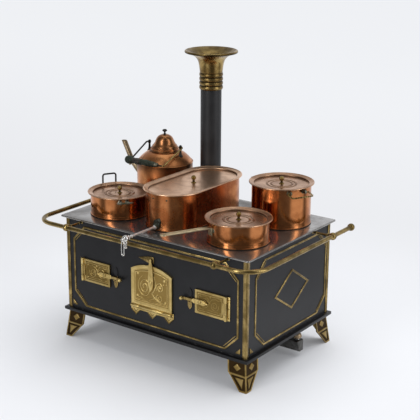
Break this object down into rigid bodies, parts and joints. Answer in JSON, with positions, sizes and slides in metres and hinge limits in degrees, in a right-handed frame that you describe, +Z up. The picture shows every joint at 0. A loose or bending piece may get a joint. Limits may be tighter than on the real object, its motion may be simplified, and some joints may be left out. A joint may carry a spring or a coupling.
{
  "type": "tin toy stove",
  "caption": "Black tin toy stove with brass doors, rail and feet, copper pots, oval boiler with tap, kettle, lift-off chimney and a sliding spirit burner.",
  "frame": {"origin": "on the floor, below the middle of the whole object's bounding box", "axes": "+Z up, front with the doors towards -Y, +X to the right seen from the front"},
  "size_m": [0.372, 0.276, 0.3916],
  "materials": {
    "black_lacquer": "glossy black japan lacquer, worn at the edges",
    "burnished_steel": "burnished sheet steel, stained near the pots",
    "brass": "aged yellow brass",
    "antique_brass": "cast brass with dark recesses",
    "copper": "polished copper with brown patina",
    "lid_copper": "pale copper, satin",
    "black_iron": "blackened iron",
    "black_pipe": "satin black stove paint",
    "nickel": "bright nickel, a little worn",
    "tinplate": "dull dark tinplate",
    "dark_wood": "ebonised turned wood"
  },
  "bodies": {
    "stove": {"base_plate": "black_lacquer", "front_panel": "black_lacquer", "back_panel": "black_lacquer", "left_panel": "black_lacquer", "right_panel": "black_lacquer", "top_plate": "burnished_steel", "corner_posts": "brass", "feet": "antique_brass", "front_moulding": "brass", "left_moulding": "brass", "right_moulding": "brass", "hand_rail": "brass", "rail_fittings": "brass", "chimney_collar": "black_pipe", "left_oven_box": "tinplate", "right_oven_box": "tinplate", "burner_guides": "black_lacquer", "door_hinges": "brass", "centre_apron": "brass", "door_keepers": "brass"},
    "chimney": {"chimney_pipe": "black_pipe", "chimney_bell": "brass"},
    "left_door": {"left_door": "brass"},
    "right_door": {"right_door": "brass"},
    "centre_door": {"centre_door": "brass"},
    "left_latch": {"left_latch": "brass"},
    "right_latch": {"right_latch": "brass"},
    "centre_latch": {"centre_latch": "brass"},
    "burner": {"burner_tank": "tinplate", "wick_tubes": "tinplate"},
    "burner_cap": {"filler_cap": "brass"},
    "boiler": {"boiler_body": "copper", "tap_body": "nickel"},
    "boiler_cover": {"boiler_lid": "lid_copper", "boiler_knob": "brass"},
    "tap_lever": {"tap_lever": "nickel"},
    "casserole": {"casserole_body": "copper", "casserole_ears": "black_iron"},
    "casserole_cover": {"casserole_lid": "lid_copper", "casserole_knob": "brass"},
    "casserole_front_loop": {"casserole_front_handle": "black_iron"},
    "casserole_back_loop": {"casserole_back_handle": "black_iron"},
    "stockpot": {"stockpot_body": "copper", "stockpot_ears": "brass"},
    "stockpot_cover": {"stockpot_lid": "lid_copper", "stockpot_knob": "brass"},
    "stockpot_right_loop": {"stockpot_right_handle": "brass"},
    "stockpot_left_loop": {"stockpot_left_handle": "brass"},
    "saucepan": {"saucepan_body": "copper", "saucepan_handle": "brass"},
    "saucepan_cover": {"saucepan_lid": "lid_copper", "saucepan_knob": "brass"},
    "kettle": {"kettle_body": "copper", "kettle_spout": "brass"},
    "kettle_cover": {"kettle_lid": "copper", "kettle_knob": "black_iron"},
    "kettle_bail": {"kettle_bail": "black_iron", "kettle_grip": "dark_wood"}
  },
  "joints": [
    {"name": "left_door_hinge", "type": "hinge", "parent": "stove", "child": "left_door", "pos_m": [-0.1205, -0.08973, 0.106], "axis": [0, 0, -1], "range_deg": [0, 110]},
    {"name": "right_door_hinge", "type": "hinge", "parent": "stove", "child": "right_door", "pos_m": [0.1205, -0.08973, 0.106], "axis": [0, 0, 1], "range_deg": [0, 110]},
    {"name": "centre_door_hinge", "type": "hinge", "parent": "stove", "child": "centre_door", "pos_m": [0, -0.08973, 0.0755], "axis": [1, 0, 0], "range_deg": [0, 95]},
    {"name": "left_latch_turn", "type": "hinge", "parent": "left_door", "child": "left_latch", "pos_m": [-0.08, -0.09014, 0.106], "axis": [0, -1, 0], "range_deg": [0, 80]},
    {"name": "right_latch_turn", "type": "hinge", "parent": "right_door", "child": "right_latch", "pos_m": [0.08, -0.09014, 0.106], "axis": [0, 1, 0], "range_deg": [0, 80]},
    {"name": "centre_latch_turn", "type": "hinge", "parent": "centre_door", "child": "centre_latch", "pos_m": [0, -0.09014, 0.114], "axis": [0, 1, 0], "range_deg": [0, 80]},
    {"name": "burner_slide", "type": "slide", "parent": "stove", "child": "burner", "axis": [1, 0, 0], "range_m": [0, 0.2]},
    {"name": "filler_cap_turn", "type": "hinge", "parent": "burner", "child": "burner_cap", "pos_m": [0.143, 0.04761, 0.024], "axis": [0, 0, 1], "continuous": true},
    {"name": "chimney_lift", "type": "slide", "parent": "stove", "child": "chimney", "axis": [0, 0, 1], "range_m": [0, 0.06]},
    {"name": "boiler_lift", "type": "slide", "parent": "stove", "child": "boiler", "axis": [0, 0, 1], "range_m": [0, 0.06]},
    {"name": "boiler_lid_lift", "type": "slide", "parent": "boiler", "child": "boiler_cover", "axis": [0, 0, 1], "range_m": [0, 0.04]},
    {"name": "tap_turn", "type": "hinge", "parent": "boiler", "child": "tap_lever", "pos_m": [-0.007, -0.13694, 0.1845], "axis": [0, -1, 0], "range_deg": [0, 90]},
    {"name": "casserole_lift", "type": "slide", "parent": "stove", "child": "casserole", "axis": [0, 0, 1], "range_m": [0, 0.06]},
    {"name": "casserole_lid_lift", "type": "slide", "parent": "casserole", "child": "casserole_cover", "axis": [0, 0, 1], "range_m": [0, 0.04]},
    {"name": "casserole_front_loop_swing", "type": "hinge", "parent": "casserole", "child": "casserole_front_loop", "pos_m": [-0.06494, -0.0645, 0.2044], "axis": [-0.6691, -0.7431, 0], "range_deg": [0, 73]},
    {"name": "casserole_back_loop_swing", "type": "hinge", "parent": "casserole", "child": "casserole_back_loop", "pos_m": [-0.13936, -0.00944, 0.2044], "axis": [0.515, 0.8572, 0], "range_deg": [-75, 0]},
    {"name": "stockpot_lift", "type": "slide", "parent": "stove", "child": "stockpot", "axis": [0, 0, 1], "range_m": [0, 0.06]},
    {"name": "stockpot_lid_lift", "type": "slide", "parent": "stockpot", "child": "stockpot_cover", "axis": [0, 0, 1], "range_m": [0, 0.04]},
    {"name": "stockpot_right_loop_swing", "type": "hinge", "parent": "stockpot", "child": "stockpot_right_loop", "pos_m": [0.13791, 0.04619, 0.2294], "axis": [-0.4695, -0.8829, 0], "range_deg": [0, 60]},
    {"name": "stockpot_left_loop_swing", "type": "hinge", "parent": "stockpot", "child": "stockpot_left_loop", "pos_m": [0.06109, 0.08704, 0.2294], "axis": [0.4695, 0.8829, 0], "range_deg": [0, 60]},
    {"name": "saucepan_lift", "type": "slide", "parent": "stove", "child": "saucepan", "axis": [0, 0, 1], "range_m": [0, 0.06]},
    {"name": "saucepan_lid_lift", "type": "slide", "parent": "saucepan", "child": "saucepan_cover", "axis": [0, 0, 1], "range_m": [0, 0.04]},
    {"name": "kettle_lift", "type": "slide", "parent": "stove", "child": "kettle", "axis": [0, 0, 1], "range_m": [0, 0.06]},
    {"name": "kettle_lid_lift", "type": "slide", "parent": "kettle", "child": "kettle_cover", "axis": [0, 0, 1], "range_m": [0, 0.03]},
    {"name": "kettle_bail_swing", "type": "hinge", "parent": "kettle", "child": "kettle_bail", "pos_m": [-0.0995, 0.06661, 0.255], "axis": [-1, 0, 0], "range_deg": [0, 230]}
  ]
}
